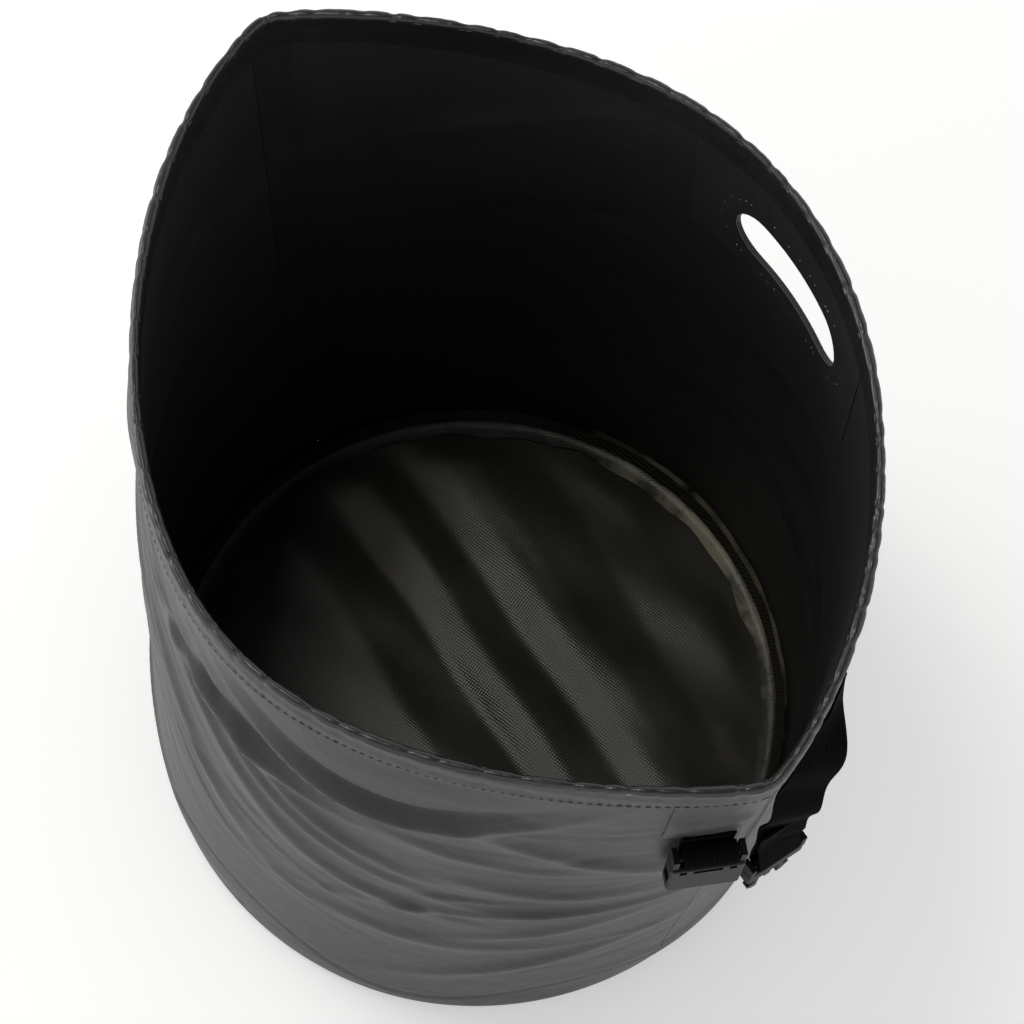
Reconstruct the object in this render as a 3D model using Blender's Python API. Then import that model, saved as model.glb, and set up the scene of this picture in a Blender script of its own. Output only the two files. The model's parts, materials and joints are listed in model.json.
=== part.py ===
"""Roll-top dry bag standing open, in metres.

The floor is round and the mouth is a lens with a corner at each end, where a pair of buckle halves
hangs. The origin is the centre of the floor's underside, +Z is up, +X points to one corner of the
mouth, and +Y points to the back panel, which has the hand hole.
"""

import math

import bmesh
import bpy
import numpy as np
from mathutils import Matrix, Vector

# The bag
BASE_RADIUS = 0.190
HEIGHT = 0.450
MOUTH_HALF_LENGTH = 0.222
MOUTH_BACK = (0.1678, 0.0070, 0.0050)  # half width, and how much it leans and ripples
MOUTH_FRONT = (0.1706, -0.0034, -0.0094)
MOUTH_FULLNESS = 1.62
MOUTH_ROUNDING = 0.024
FABRIC = 0.0012
FLOOR = 0.0015
GAP = 0.0003

# Hem, tapes and patches
HEM_DEPTH = 0.022
BINDING = 0.0008
RIM_TOP = 0.0012
STIFFENER = 0.0012
STIFFENER_INSET = 0.014
TAPE = 0.0005
TAPE_WIDTH = 0.023
PATCH = 0.0006
ANCHOR_PATCH = 0.0022

# Hand hole in the back panel
HOLE_LENGTH = 0.090
HOLE_HEIGHT = 0.036
HOLE_DROP = 0.074
HOLE_PATCH_LENGTH = 0.150
HOLE_PATCH_DROP = 0.110

# Webbing: places along the wall are distances from the mouth's corner, positive towards the back
WEBBING_WIDTH = 0.025
WEBBING = 0.0016
LOOP_PLACE = -0.0175
LOOP_DROP = 0.085
LOOP_RADIUS = 0.0060
LOOP_PATCH_WIDTH = 0.044
STRAP_PLACE = 0.068
STRAP_DROP = 0.050
STRAP_PATCH_WIDTH = 0.034
STRAP_REST = (0.2070, 0.0400)
STRAP_TURN = math.radians(87)
STRAP_SETTLE = 0.100
STRAP_END_RADIUS = 0.0042
STRAP_TAIL = 0.038
STRAP_CLEARANCE = 0.0012
MALE_BAR_HEIGHT = 0.240

# Side-release buckle, measured from the bar that the webbing goes round
BUCKLE_WIDTH = 0.035
BAR_RADIUS = 0.0023
ARM_WIDTH = 0.0032
ARM_DEPTH = 0.0080
ARM_TOP = 0.0028
BODY_TOP = 0.0075
FEMALE_LENGTH = 0.040
FEMALE_DEPTH = 0.0104
SOCKET_WIDTH = 0.0252
SOCKET_DEPTH = 0.0064
SOCKET_TOP = 0.017
MALE_LENGTH = 0.020
MALE_DEPTH = 0.0080
GUIDE_WIDTH = 0.0044
GUIDE_LENGTH = 0.020
PRONG_PLACE = 0.0078
PRONG_WIDTH = 0.0026
PRONG_DEPTH = 0.0038
PRONG_LENGTH = 0.026
PRONG_HOOK = 0.0040

# Fineness
AROUND = 96
ROWS = 12
LEAST_ROW = 0.004
ARC_STEPS = 12
STRAP_STEPS = 24

HEM_FOOT = HEIGHT - HEM_DEPTH
INSIDE = FABRIC + GAP
UP = Vector((0, 0, 1))


def material(name, colour, roughness, metallic=0.0):
    made = bpy.data.materials.new(name)
    made.use_nodes = True
    shader = made.node_tree.nodes["Principled BSDF"]
    shader.inputs["Base Color"].default_value = (*colour, 1.0)
    shader.inputs["Roughness"].default_value = roughness
    shader.inputs["Metallic"].default_value = metallic
    return made


def add_object(name, mesh, surface, origin=(0, 0, 0)):
    """Puts a bmesh, drawn about the world's origin, into the scene with its own origin at a point."""
    bmesh.ops.translate(mesh, verts=mesh.verts, vec=-Vector(origin))
    bmesh.ops.recalc_face_normals(mesh, faces=mesh.faces)
    data = bpy.data.meshes.new(name)
    mesh.to_mesh(data)
    mesh.free()
    data.shade_smooth()
    data.set_sharp_from_angle(angle=math.radians(35))
    if surface:
        data.materials.append(surface)
    made = bpy.data.objects.new(name, data)
    made.location = origin
    bpy.context.scene.collection.objects.link(made)
    return made


# The wall's shape


def mouth_outline():
    """The mouth as a lens, from the +X corner. Both panels count as equally long round it."""
    turn = np.linspace(0, 2 * math.pi, 2881)
    x = MOUTH_HALF_LENGTH * np.cos(turn)
    back, front = (
        width + lean * np.cos(turn) + ripple * np.cos(3 * turn)
        for width, lean, ripple in (MOUTH_BACK, MOUTH_FRONT)
    )
    rise = np.abs(np.sin(turn)) * (np.sin(turn) ** 2 + MOUTH_ROUNDING) ** (MOUTH_FULLNESS / 2 - 0.5)
    y = np.where(turn < math.pi, back, -front) * rise
    length = np.concatenate([[0], np.cumsum(np.hypot(np.diff(x), np.diff(y)))])
    girth, corner = length[-1], length[len(turn) // 2]
    return np.interp(length, [0, corner, girth], [0, girth / 2, girth]), x, y


MOUTH_LENGTH, MOUTH_X, MOUTH_Y = mouth_outline()
GIRTH = MOUTH_LENGTH[-1]


def wall_point(along, height):
    """A point of the wall's outer face: a distance round it from the +X corner, and a height."""
    share = along / GIRTH % 1
    lift = height / HEIGHT
    turn = 2 * math.pi * share
    x = np.interp(share * GIRTH, MOUTH_LENGTH, MOUTH_X)
    y = np.interp(share * GIRTH, MOUTH_LENGTH, MOUTH_Y)
    return Vector((
        (1 - lift) * BASE_RADIUS * math.cos(turn) + lift * x,
        (1 - lift) * BASE_RADIUS * math.sin(turn) + lift * y,
        height,
    ))


def wall_frame(along, height):
    """The wall's outer point there, with the directions along it, out of it and up it."""
    reach = 0.004
    sideways = (wall_point(along + reach, height) - wall_point(along - reach, height)).normalized()
    up = (wall_point(along, height) - wall_point(along, height - reach)).normalized()
    return wall_point(along, height), sideways, sideways.cross(up).normalized(), up


def under_wall(along, height, depth):
    """A point at a depth behind the wall's outer face; a negative depth stands proud of it."""
    point, sideways, _, _ = wall_frame(along, height)
    return point - Vector((sideways.y, -sideways.x, 0)).normalized() * depth


def stations(start, end):
    """Distances from start to end, with the shared divisions of the wall between them."""
    step = GIRTH / AROUND
    inner = [i * step for i in range(math.ceil(start / step), math.floor(end / step) + 1)]
    return [start] + [s for s in inner if start + 1e-4 < s < end - 1e-4] + [end]


def heights(low, high):
    rows = [i * HEIGHT / ROWS for i in range(1, ROWS)]
    return [low] + [z for z in rows if low + LEAST_ROW < z < high - LEAST_ROW] + [high]


def loft(mesh, loops, closed_ends):
    """Joins loops of points one after another. Without ends to close, the last meets the first."""
    rows = [[mesh.verts.new(point) for point in loop] for loop in loops]
    pairs = list(zip(rows, rows[1:])) if closed_ends else list(zip(rows, rows[1:] + rows[:1]))
    for one, other in pairs:
        for i in range(len(one)):
            j = (i + 1) % len(one)
            mesh.faces.new((one[i], one[j], other[j], other[i]))
    return rows


def panel(name, surface, start, end, low, high, outer, inner):
    """A sheet that follows the wall between two distances, heights and depths."""
    levels = heights(low, high)
    loops = []
    for along in stations(start, end):
        front = [under_wall(along, z, outer) for z in levels]
        back = [under_wall(along, z, inner) for z in reversed(levels)]
        loops.append(front + back)
    mesh = bmesh.new()
    rows = loft(mesh, loops, closed_ends=True)
    for row in (rows[0], rows[-1]):
        for i in range(len(levels) - 1):
            mesh.faces.new((row[i], row[i + 1], row[-2 - i], row[-1 - i]))
    return add_object(name, mesh, surface)


def ring(name, surface, section):
    """A closed hoop round the wall: section is a list of depths and heights."""
    mesh = bmesh.new()
    places = [i * GIRTH / AROUND for i in range(AROUND)]
    loft(mesh, [[under_wall(s, z, depth) for depth, z in section] for s in places], False)
    return add_object(name, mesh, surface)


# Booleans and simple solids


def box(low, high, bevel=0.0):
    mesh = bmesh.new()
    bmesh.ops.create_cube(mesh, size=1.0)
    size = Vector(high) - Vector(low)
    bmesh.ops.scale(mesh, verts=mesh.verts, vec=size)
    bmesh.ops.translate(mesh, verts=mesh.verts, vec=(Vector(high) + Vector(low)) / 2)
    if bevel:
        bmesh.ops.bevel(
            mesh, geom=mesh.edges[:], offset=bevel, segments=2, profile=0.5, affect="EDGES"
        )
    return mesh


def boxes(*corners):
    """Several separate boxes in one bmesh."""
    mesh = bmesh.new()
    for low, high in corners:
        one = box(low, high)
        data = bpy.data.meshes.new("box")
        one.to_mesh(data)
        one.free()
        mesh.from_mesh(data)
        bpy.data.meshes.remove(data)
    return mesh


def extrusion(outline, depth):
    """An outline in X and Z, as thick as depth about Y = 0."""
    mesh = bmesh.new()
    sides = [[mesh.verts.new((x, y, z)) for x, z in outline] for y in (-depth / 2, depth / 2)]
    mesh.faces.new(sides[0])
    mesh.faces.new(reversed(sides[1]))
    for i in range(len(outline)):
        j = (i + 1) % len(outline)
        mesh.faces.new((sides[0][i], sides[1][i], sides[1][j], sides[0][j]))
    return mesh


def combine(target, mesh, operation, name, solver="MANIFOLD"):
    """A hidden helper, in the target's own space, that is joined to it or cut from it."""
    helper = add_object(f"{target.name}_{name}", mesh, None)
    helper.parent = target
    helper.hide_render = True
    helper.display_type = "WIRE"
    change = target.modifiers.new(name, "BOOLEAN")
    change.operation = operation
    change.object = helper
    change.solver = solver


# Bag pieces


def make_walls(fabric):
    joint = GAP / 2
    top = HEIGHT - RIM_TOP - GAP
    half = GIRTH / 2
    panel("front_panel", fabric, half + joint, GIRTH - joint, 0, top, 0, FABRIC)
    return panel("back_panel", fabric, joint, half - joint, 0, top, 0, FABRIC)


def make_floor(fabric):
    mesh = bmesh.new()
    edge = [under_wall(i * GIRTH / AROUND, 0, INSIDE) for i in range(AROUND)]
    low = mesh.faces.new([mesh.verts.new(point) for point in edge])
    raised = bmesh.ops.extrude_face_region(mesh, geom=[low])
    bmesh.ops.translate(
        mesh,
        verts=[v for v in raised["geom"] if isinstance(v, bmesh.types.BMVert)],
        vec=(0, 0, FLOOR),
    )
    add_object("floor_panel", mesh, fabric)


def make_tapes(tape):
    foot = FLOOR + GAP
    reach = TAPE_WIDTH / 2
    section = [
        (INSIDE, foot),
        (INSIDE + reach, foot),
        (INSIDE + reach, foot + TAPE),
        (INSIDE + TAPE, foot + TAPE),
        (INSIDE + TAPE, foot + reach),
        (INSIDE, foot + reach),
    ]
    ring("floor_seam_tape", tape, section)
    for name, centre in (("right_seam_tape", GIRTH), ("left_seam_tape", GIRTH / 2)):
        low = foot + reach + GAP
        panel(
            name, tape, centre - reach, centre + reach, low, HEM_FOOT - GAP, INSIDE, INSIDE + TAPE
        )


def make_hem(binding, plastic):
    inner = INSIDE + STIFFENER + GAP
    section = [
        (-GAP - BINDING, HEM_FOOT),
        (-GAP - BINDING, HEIGHT),
        (inner + BINDING, HEIGHT),
        (inner + BINDING, HEM_FOOT),
        (inner, HEM_FOOT),
        (inner, HEIGHT - RIM_TOP),
        (-GAP, HEIGHT - RIM_TOP),
        (-GAP, HEM_FOOT),
    ]
    ring("rim_binding", binding, section)
    low, high = HEM_FOOT + 0.002, HEIGHT - RIM_TOP - 2 * GAP
    for name, corner in (("back_stiffener", 0.0), ("front_stiffener", GIRTH / 2)):
        start = corner + STIFFENER_INSET
        end = corner + GIRTH / 2 - STIFFENER_INSET
        panel(name, plastic, start, end, low, high, INSIDE, INSIDE + STIFFENER)


def stadium(length, height, steps=10):
    """A slot's outline with round ends, in X and Z about the origin."""
    radius = height / 2
    straight = length / 2 - radius
    outline = []
    for side, start in ((1, -math.pi / 2), (-1, math.pi / 2)):
        for i in range(steps + 1):
            turn = start + math.pi * i / steps
            outline.append((side * straight + radius * math.cos(turn), radius * math.sin(turn)))
    return outline


def make_hand_hole(back_panel, fabric):
    middle = GIRTH / 4
    start, end = middle - HOLE_PATCH_LENGTH / 2, middle + HOLE_PATCH_LENGTH / 2
    low, high = HEIGHT - HOLE_PATCH_DROP, HEM_FOOT - GAP
    outside = panel("hand_hole_outer_patch", fabric, start, end, low, high, -GAP - PATCH, -GAP)
    inside = panel("hand_hole_inner_patch", fabric, start, end, low, high, INSIDE, INSIDE + PATCH)
    for sheet in (back_panel, outside, inside):
        slot = extrusion(stadium(HOLE_LENGTH, HOLE_HEIGHT), 0.06)
        bmesh.ops.translate(slot, verts=slot.verts, vec=wall_point(middle, HEIGHT - HOLE_DROP))
        combine(sheet, slot, "DIFFERENCE", "hand_hole", "EXACT")


# Webbing


def ribbon(name, surface, path, across, origin):
    """Flat webbing along a path: across holds its width's direction at each point."""
    loops = []
    for i, point in enumerate(path):
        before, after = path[max(i - 1, 0)], path[min(i + 1, len(path) - 1)]
        tangent = (after - before).normalized()
        wide = (across[i] - tangent * across[i].dot(tangent)).normalized() * WEBBING_WIDTH / 2
        thick = tangent.cross(wide).normalized() * WEBBING / 2
        loops.append([
            point + wide + thick, point - wide + thick, point - wide - thick, point + wide - thick
        ])
    mesh = bmesh.new()
    rows = loft(mesh, loops, closed_ends=True)
    mesh.faces.new(rows[0])
    mesh.faces.new(rows[-1])
    return add_object(name, mesh, surface, origin)


def mirrored(place, side):
    """The same distance from the other corner of the mouth."""
    return place if side > 0 else GIRTH / 2 - place


def anchor_patch(name, surface, place, width, low):
    """Fabric patch with the sewn end of the webbing under it, from the hem down to low."""
    panel(
        name, surface, GIRTH + place - width / 2, GIRTH + place + width / 2, low, HEM_FOOT - GAP,
        -GAP - ANCHOR_PATCH, -GAP,
    )


def make_loop(name, side, webbing, fabric):
    """The short loop on the front of the corner. It returns the axis that its buckle turns on."""
    place = mirrored(LOOP_PLACE, side)
    height = HEIGHT - LOOP_DROP
    point, sideways, outward, up = wall_frame(place, height)
    centre = point + outward * (GAP + LOOP_RADIUS + WEBBING / 2)
    patch_low = height + LOOP_RADIUS + 0.004
    anchor_patch(f"{name}_loop_patch", fabric, place, LOOP_PATCH_WIDTH, patch_low)
    top = patch_low - GAP - height
    path = [centre - outward * LOOP_RADIUS + up * top]
    turn_end = math.radians(485)
    for i in range(2 * ARC_STEPS + 1):
        turn = math.pi + (turn_end - math.pi) * i / (2 * ARC_STEPS)
        path.append(centre + (outward * math.cos(turn) + up * math.sin(turn)) * LOOP_RADIUS)
    ribbon(f"{name}_webbing_loop", webbing, path, [sideways] * len(path), centre)
    flat = Vector((outward.x, outward.y, 0)).normalized()
    return centre, flat.cross(UP), flat


def make_strap(name, side, webbing, fabric):
    """The free strap on the back of the corner. It returns the bar that its end goes round."""
    place = mirrored(STRAP_PLACE, side)
    height = HEIGHT - STRAP_DROP
    anchor_patch(f"{name}_strap_patch", fabric, place, STRAP_PATCH_WIDTH, height)
    point, sideways, outward, _ = wall_frame(place, height)
    start = point + outward * (GAP + ANCHOR_PATCH) - UP * STRAP_CLEARANCE
    wide = Vector((math.cos(STRAP_TURN), -side * math.sin(STRAP_TURN), 0))
    back = Vector((side * math.sin(STRAP_TURN), math.cos(STRAP_TURN), 0))
    first = sideways if sideways.dot(wide) > 0 else -sideways
    run = Vector((side * STRAP_REST[0], STRAP_REST[1], 0))
    path, across = [], []
    for i in range(STRAP_STEPS + 1):
        drop = (start.z - MALE_BAR_HEIGHT) * i / STRAP_STEPS
        ease = min(drop / STRAP_SETTLE, 1)
        ease = ease * ease * (3 - 2 * ease)
        spot = start.lerp(run, ease)
        path.append(Vector((spot.x, spot.y, start.z - drop)))
        across.append(first.lerp(wide, ease).normalized())
    bar = run + UP * MALE_BAR_HEIGHT + back * STRAP_END_RADIUS
    for i in range(1, ARC_STEPS + 1):
        turn = math.pi * (1 + i / ARC_STEPS)
        path.append(bar + (back * math.cos(turn) + UP * math.sin(turn)) * STRAP_END_RADIUS)
    lean = 2 * STRAP_END_RADIUS - WEBBING - 2 * GAP
    for share in (0.15, 0.35, 0.6, 1.0):
        inward = min(share / 0.6, 1) * lean
        path.append(bar + back * (STRAP_END_RADIUS - inward) + UP * STRAP_TAIL * share)
    across += [wide] * (len(path) - len(across))
    strap = ribbon(f"{name}_strap", webbing, path, across, start)
    return strap, bar, wide, back


# Buckle halves


def put(obj, origin, wide, out):
    up = wide.cross(out)
    obj.matrix_world = Matrix((
        (wide.x, out.x, up.x, origin.x),
        (wide.y, out.y, up.y, origin.y),
        (wide.z, out.z, up.z, origin.z),
        (0, 0, 0, 1),
    ))


def add_bar_end(body):
    """Two arms above the body, and the bar between them that the webbing goes round."""
    edge, inner, deep = BUCKLE_WIDTH / 2, BUCKLE_WIDTH / 2 - ARM_WIDTH, ARM_DEPTH / 2
    low = -BODY_TOP - 0.003
    arms = boxes(
        ((inner, -deep, low), (edge - 0.0004, deep, ARM_TOP)),
        ((-edge + 0.0004, -deep, low), (-inner, deep, ARM_TOP)),
    )
    combine(body, arms, "UNION", "arms")
    bar = bmesh.new()
    turned = Matrix.Rotation(math.pi / 2, 4, "Y")
    bmesh.ops.create_cone(
        bar, cap_ends=True, segments=16, radius1=BAR_RADIUS, radius2=BAR_RADIUS,
        depth=BUCKLE_WIDTH - ARM_WIDTH, matrix=turned,
    )
    combine(body, bar, "UNION", "bar")


def make_female(name, origin, wide, out, plastic):
    edge, deep = BUCKLE_WIDTH / 2, FEMALE_DEPTH / 2
    shell = box((-edge, -deep, -FEMALE_LENGTH), (edge, deep, -BODY_TOP), 0.0016)
    body = add_object(f"{name}_buckle_female", shell, plastic)
    add_bar_end(body)
    room = SOCKET_DEPTH / 2
    socket = box(
        (-SOCKET_WIDTH / 2, -room, -FEMALE_LENGTH - 0.01), (SOCKET_WIDTH / 2, room, -SOCKET_TOP)
    )
    combine(body, socket, "DIFFERENCE", "socket")
    windows = box((-edge - 0.01, -room + 0.0002, -0.031), (edge + 0.01, room - 0.0002, -0.021))
    combine(body, windows, "DIFFERENCE", "side_windows")
    high, low = -BODY_TOP - 0.0022, -BODY_TOP - 0.0062
    front, back = deep + 0.002, deep - 0.0018
    lights = boxes(
        ((-0.0135, back, low), (-0.0100, front, high)),
        ((-0.0070, back, low), (0.0070, front, high)),
        ((0.0100, back, low), (0.0135, front, high)),
    )
    combine(body, lights, "DIFFERENCE", "front_lights")
    put(body, origin, wide, out)


def prong_outline(hand):
    half = PRONG_WIDTH / 2
    points = [
        (-half, -0.0002),
        (half, -0.0002),
        (half, -0.62 * PRONG_LENGTH),
        (half + PRONG_HOOK, -0.68 * PRONG_LENGTH),
        (half + PRONG_HOOK, -0.78 * PRONG_LENGTH),
        (half + 0.0006, -0.97 * PRONG_LENGTH),
        (-half, -PRONG_LENGTH),
    ]
    return [(hand * x, z) for x, z in points]


def make_male(name, side, strap, origin, wide, out, plastic):
    edge, deep = BUCKLE_WIDTH / 2, MALE_DEPTH / 2
    base = box((-edge, -deep, -MALE_LENGTH), (edge, deep, -BODY_TOP), 0.0014)
    body = add_object(f"{name}_buckle_male", base, plastic)
    add_bar_end(body)
    guide = box(
        (-GUIDE_WIDTH / 2, -0.0016, -MALE_LENGTH - GUIDE_LENGTH),
        (GUIDE_WIDTH / 2, 0.0016, -MALE_LENGTH + 0.003), 0.0006,
    )
    combine(body, guide, "UNION", "guide")
    put(body, origin, wide, out)
    for title, hand in (("front", side), ("back", -side)):
        shape = extrusion(prong_outline(hand), PRONG_DEPTH)
        prong = add_object(f"{name}_prong_{title}", shape, plastic)
        prong.parent = body
        prong.location = (hand * PRONG_PLACE, 0, -MALE_LENGTH - GAP)
    bpy.context.view_layer.update()
    held = body.matrix_world.copy()
    body.parent = strap
    body.matrix_world = held


def main():
    for obj in list(bpy.data.objects):
        bpy.data.objects.remove(obj, do_unlink=True)
    wall = material("wall_fabric", (0.040, 0.040, 0.043), 0.42)
    floor = material("floor_fabric", (0.030, 0.029, 0.024), 0.48)
    tape = material("seam_tape", (0.022, 0.022, 0.020), 0.25)
    binding = material("rim_binding", (0.045, 0.045, 0.048), 0.38)
    stiff = material("stiffener", (0.30, 0.30, 0.30), 0.45)
    webbing = material("webbing", (0.018, 0.018, 0.019), 0.75)
    plastic = material("buckle_plastic", (0.020, 0.020, 0.022), 0.32)
    back_panel = make_walls(wall)
    make_floor(floor)
    make_tapes(tape)
    make_hem(binding, stiff)
    make_hand_hole(back_panel, wall)
    for name, side in (("right", 1), ("left", -1)):
        centre, wide, out = make_loop(name, side, webbing, wall)
        make_female(name, centre, wide, out, plastic)
        strap, bar, wide, out = make_strap(name, side, webbing, wall)
        make_male(name, side, strap, bar, wide, out, plastic)


main()
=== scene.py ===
"""Looks of the open roll-top dry bag: coated fabric, hem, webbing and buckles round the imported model."""

import json
import math

import bmesh
import bpy
import numpy as np
from mathutils import Matrix, Vector


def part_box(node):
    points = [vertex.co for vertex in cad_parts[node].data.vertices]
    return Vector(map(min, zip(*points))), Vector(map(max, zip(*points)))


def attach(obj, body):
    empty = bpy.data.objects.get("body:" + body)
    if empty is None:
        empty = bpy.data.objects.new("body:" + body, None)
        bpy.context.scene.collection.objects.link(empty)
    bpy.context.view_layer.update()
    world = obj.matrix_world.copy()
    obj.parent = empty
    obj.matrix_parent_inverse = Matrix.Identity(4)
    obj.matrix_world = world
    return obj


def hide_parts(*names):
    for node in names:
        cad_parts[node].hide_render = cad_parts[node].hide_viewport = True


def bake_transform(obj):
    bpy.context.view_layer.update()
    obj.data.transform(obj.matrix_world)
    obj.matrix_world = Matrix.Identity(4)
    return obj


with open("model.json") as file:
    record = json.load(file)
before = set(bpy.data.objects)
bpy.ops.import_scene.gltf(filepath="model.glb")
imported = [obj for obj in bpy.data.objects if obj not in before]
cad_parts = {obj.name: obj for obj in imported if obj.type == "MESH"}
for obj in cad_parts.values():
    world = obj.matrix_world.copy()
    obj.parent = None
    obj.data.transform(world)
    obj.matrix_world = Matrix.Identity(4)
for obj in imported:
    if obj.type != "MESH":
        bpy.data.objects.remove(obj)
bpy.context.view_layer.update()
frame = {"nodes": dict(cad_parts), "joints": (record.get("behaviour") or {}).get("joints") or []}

UP = Vector((0, 0, 1))

# The bag's shape, read from the frame
HEM_LOW, HEM_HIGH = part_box("rim_binding")
HEM_PROUD = 0.0011
HEIGHT = HEM_HIGH.z
HEM_FOOT = HEM_LOW.z
BASE_RADIUS = -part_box("front_panel")[0].y
MOUTH_HALF_LENGTH = HEM_HIGH.x - HEM_PROUD
MOUTH_BACK = (0.1678, 0.0070, 0.0050)  # half width, and how much it leans and ripples
MOUTH_FRONT = (0.1706, -0.0034, -0.0094)
MOUTH_FULLNESS = 1.62
MOUTH_ROUNDING = 0.024
FABRIC = 0.0012
GAP = 0.0003
HEM_DEPTH_IN = 0.0038

# Base edge
CHINE_RADIUS = 0.006
CHINE_LIP = 0.017
BAND_INSET = 0.0025

# Hand hole
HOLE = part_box("hand_hole_outer_patch")
HOLE_CENTRE_Z = HEIGHT - 0.074
HOLE_LENGTH = 0.090
HOLE_HEIGHT = 0.036
HOLE_PATCH_LENGTH = 0.150

JOINTS = {joint["name"]: joint for joint in frame["joints"]}


# The wall as a function of the distance along it and the height


def mouth_outline():
    turn = np.linspace(0, 2 * math.pi, 2881)
    x = MOUTH_HALF_LENGTH * np.cos(turn)
    back, front = (
        width + lean * np.cos(turn) + ripple * np.cos(3 * turn)
        for width, lean, ripple in (MOUTH_BACK, MOUTH_FRONT)
    )
    rise = np.abs(np.sin(turn)) * (np.sin(turn) ** 2 + MOUTH_ROUNDING) ** (MOUTH_FULLNESS / 2 - 0.5)
    y = np.where(turn < math.pi, back, -front) * rise
    length = np.concatenate([[0], np.cumsum(np.hypot(np.diff(x), np.diff(y)))])
    girth, corner = length[-1], length[len(turn) // 2]
    return np.interp(length, [0, corner, girth], [0, girth / 2, girth]), x, y


MOUTH_LENGTH, MOUTH_X, MOUTH_Y = mouth_outline()
GIRTH = MOUTH_LENGTH[-1]


def wall_xy(along, height):
    share = along / GIRTH % 1
    lift = height / HEIGHT
    x = np.interp(share * GIRTH, MOUTH_LENGTH, MOUTH_X)
    y = np.interp(share * GIRTH, MOUTH_LENGTH, MOUTH_Y)
    turn = 2 * math.pi * share
    return (
        (1 - lift) * BASE_RADIUS * np.cos(turn) + lift * x,
        (1 - lift) * BASE_RADIUS * np.sin(turn) + lift * y,
    )


def wall_points(along, height, depth):
    """Points at a depth behind the wall's plain outer face; along, height and depth are arrays."""
    along, height, depth = np.broadcast_arrays(
        np.asarray(along, float), np.asarray(height, float), np.asarray(depth, float)
    )
    reach = 0.004
    x, y = wall_xy(along, height)
    x1, y1 = wall_xy(along + reach, height)
    x0, y0 = wall_xy(along - reach, height)
    dx, dy = x1 - x0, y1 - y0
    size = np.hypot(dx, dy)
    return np.stack([x - dy / size * depth, y + dx / size * depth, height], axis=-1)


def bell(value):
    return np.exp(-value * value)


def smooth(low, high, value):
    share = np.clip((value - low) / (high - low), 0, 1)
    return share * share * (3 - 2 * share)


def around(along, place):
    """Signed distance along the wall from a place, the short way round."""
    return (along - place + GIRTH / 2) % GIRTH - GIRTH / 2


class Fold:
    """A long soft ridge on the wall, with one flank steeper than the other."""

    def __init__(self, place, height, slope, bow, length, width, rise):
        self.place, self.height, self.slope, self.bow = place, height, slope, bow
        self.length, self.width, self.rise = length, width, rise

    def at(self, along, height):
        run = around(along, self.place)
        middle = self.height + self.slope * run + self.bow * run * run
        off = (height - middle) / self.width
        skewed = off + 0.35 * np.tanh(off * 1.5)
        return self.rise * bell(skewed) * bell(run / self.length)


# Folds of the front panel: place as a share of the girth, height, slope, bow, length, width, rise
FRONT_FOLDS = (
    (0.858, 0.3720, 0.00, 6.0, 0.062, 0.0070, -0.0036),
    (0.858, 0.3565, 0.00, 5.0, 0.070, 0.0085, 0.0042),
    (0.790, 0.3560, -0.10, -1.0, 0.052, 0.0070, -0.0030),
    (0.795, 0.3400, -0.20, -1.0, 0.055, 0.0080, 0.0036),
    (0.772, 0.3070, -1.20, 2.0, 0.060, 0.0120, 0.0028),
    (0.800, 0.3050, -1.00, 2.0, 0.050, 0.0110, 0.0024),
    (0.828, 0.3030, -0.85, 3.0, 0.055, 0.0110, 0.0030),
    (0.852, 0.2600, -0.65, 3.0, 0.050, 0.0110, 0.0028),
    (0.835, 0.2250, -0.60, 3.0, 0.060, 0.0130, 0.0022),
    (0.940, 0.3320, -0.46, 1.0, 0.058, 0.0110, 0.0026),
    (0.895, 0.3150, -0.25, 2.0, 0.045, 0.0090, 0.0018),
    (0.930, 0.2700, 0.00, 1.0, 0.050, 0.0100, 0.0024),
    (0.930, 0.2350, 0.34, -1.6, 0.085, 0.0070, 0.0026),
    (0.935, 0.1960, 0.60, 0.0, 0.045, 0.0090, 0.0020),
    (0.935, 0.1250, 0.75, 0.0, 0.060, 0.0120, 0.0026),
    (0.880, 0.1500, 0.10, 1.5, 0.070, 0.0130, 0.0022),
    (0.720, 0.3500, -0.60, 0.0, 0.040, 0.0090, 0.0010),
    (0.740, 0.2600, -1.30, 1.0, 0.060, 0.0150, 0.0026),
    (0.700, 0.2900, -1.00, 0.0, 0.060, 0.0150, 0.0024),
)


def wall_folds():
    rng = np.random.default_rng(11)
    folds = [
        Fold(share * GIRTH, *rest, 1.15 * width, 1.2 * rise)
        for share, *rest, width, rise in FRONT_FOLDS
    ]
    for _ in range(40):  # finer drag lines between the main folds of the front
        share = rng.uniform(0.70, 0.98)
        lean = np.interp(share, [0.70, 0.85, 0.98], [-1.0, -0.35, 0.45])
        folds.append(Fold(
            share * GIRTH, rng.uniform(0.10, 0.40), lean + rng.uniform(-0.15, 0.15), rng.uniform(0, 2),
            rng.uniform(0.03, 0.07), rng.uniform(0.0035, 0.0070),
            rng.choice([-1, 1]) * rng.uniform(0.0003, 0.0009),
        ))
    for _ in range(44):  # the rest of the wall is gently rumpled
        folds.append(Fold(
            rng.uniform(0.02, 0.70) * GIRTH, rng.uniform(0.06, 0.36), rng.uniform(-0.6, 0.4),
            rng.uniform(-0.6, 2.0), rng.uniform(0.04, 0.10), rng.uniform(0.007, 0.014),
            rng.choice([-1, 1]) * rng.uniform(0.0008, 0.0026),
        ))
    return folds


FOLDS = wall_folds()


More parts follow.
